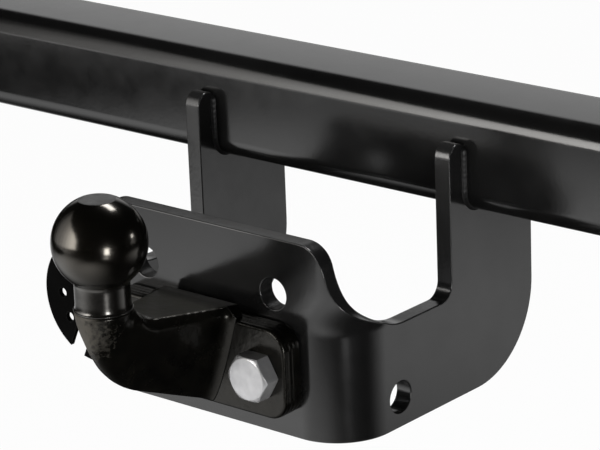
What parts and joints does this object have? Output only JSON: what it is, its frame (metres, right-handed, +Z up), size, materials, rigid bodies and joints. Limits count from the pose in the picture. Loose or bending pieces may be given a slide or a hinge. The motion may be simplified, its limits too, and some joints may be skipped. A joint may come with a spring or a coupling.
{
  "type": "towbar",
  "caption": "Fixed towbar: square cross beam with end plates and chassis arms, a bent ball bracket, a bolted forged flange ball and a socket plate.",
  "frame": {"origin": "centre of the coupling ball", "axes": "+X along the cross beam to the vehicle's right, +Y forwards under the vehicle, +Z up"},
  "size_m": [1.0676, 0.525, 0.2187],
  "materials": {
    "beam_paint": "satin black paint over rolled steel tube and plate",
    "weld_paint": "satin black paint over weld beads",
    "bracket_paint": "satin black paint over cut and bent plate",
    "socket_paint": "flat black paint over thin sheet",
    "ball_forging": "gloss black dip over forged steel, with a turned ball and neck",
    "zinc": "bright zinc plate, lightly grained"
  },
  "bodies": {
    "root": {"cross_beam": "beam_paint", "end_plate_left": "beam_paint", "end_plate_right": "beam_paint", "end_weld_left": "weld_paint", "end_weld_right": "weld_paint", "side_arm_left": "beam_paint", "side_arm_right": "beam_paint", "side_bolts_left": "zinc", "side_bolts_right": "zinc", "side_washers_left": "zinc", "side_washers_right": "zinc", "side_nuts_left": "zinc", "side_nuts_right": "zinc", "ball_bracket": "bracket_paint", "bracket_weld_left": "weld_paint", "bracket_weld_right": "weld_paint", "tow_ball": "ball_forging", "ball_bolts": "zinc", "ball_washers": "zinc", "ball_nuts": "zinc", "socket_plate": "socket_paint", "socket_bolt": "zinc", "socket_washers": "zinc", "socket_nut": "zinc"}
  },
  "joints": []
}
